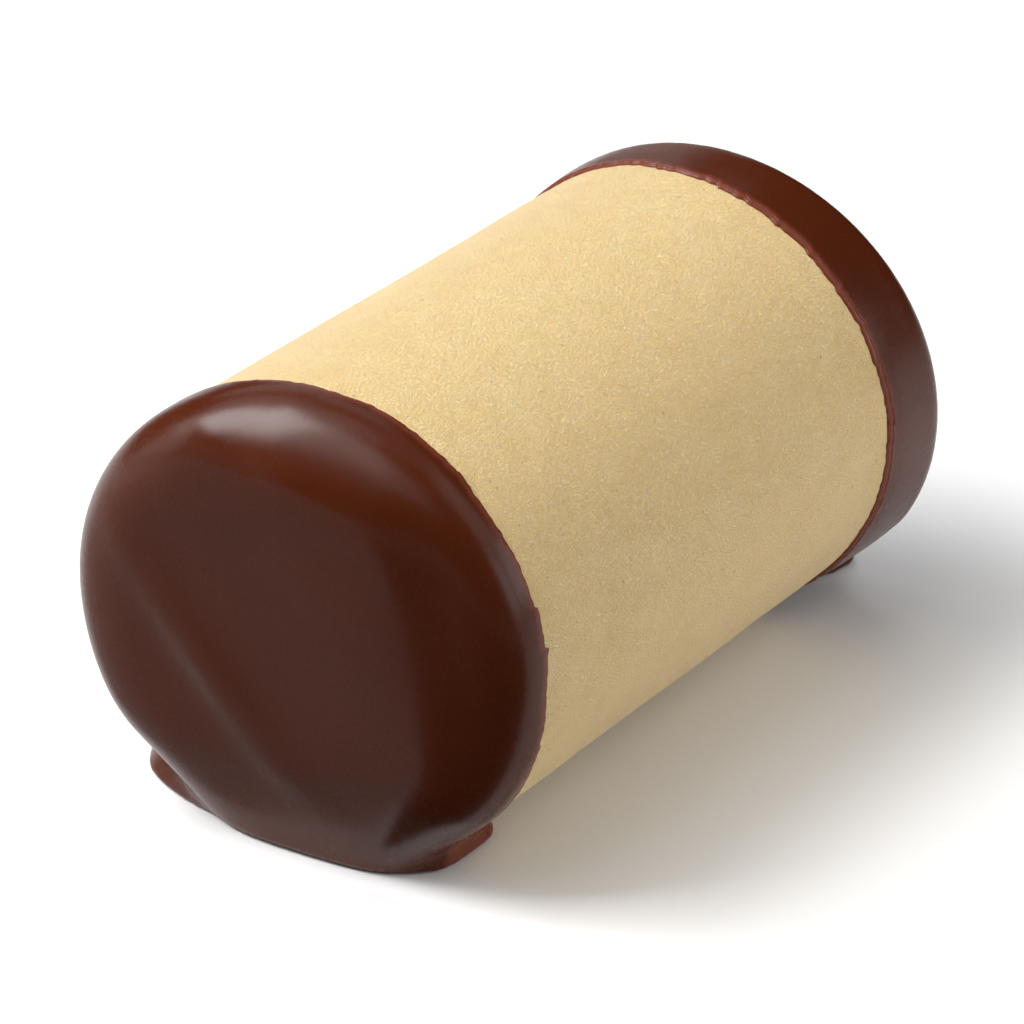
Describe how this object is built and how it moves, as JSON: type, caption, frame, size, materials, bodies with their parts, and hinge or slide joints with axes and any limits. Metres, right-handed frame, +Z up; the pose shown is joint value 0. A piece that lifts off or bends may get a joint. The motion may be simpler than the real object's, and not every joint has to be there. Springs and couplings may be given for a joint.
{
  "type": "marzipan log pastry",
  "caption": "Short roll of soft dough wrapped in plain marzipan, both ends dipped in dark chocolate that has run out into flat feet.",
  "frame": {"origin": "middle of the base of the whole log, on the table that it rests on", "axes": "+X along the roll, from the near end to the far end; +Y across it towards the back; +Z up"},
  "size_m": [0.0576, 0.0326, 0.0319],
  "materials": {
    "marzipan": "satin, finely grained",
    "chocolate": "smooth, half gloss"
  },
  "bodies": {
    "root": {"marzipan_roll": "marzipan", "near_chocolate_end": "chocolate", "far_chocolate_end": "chocolate"}
  },
  "joints": []
}
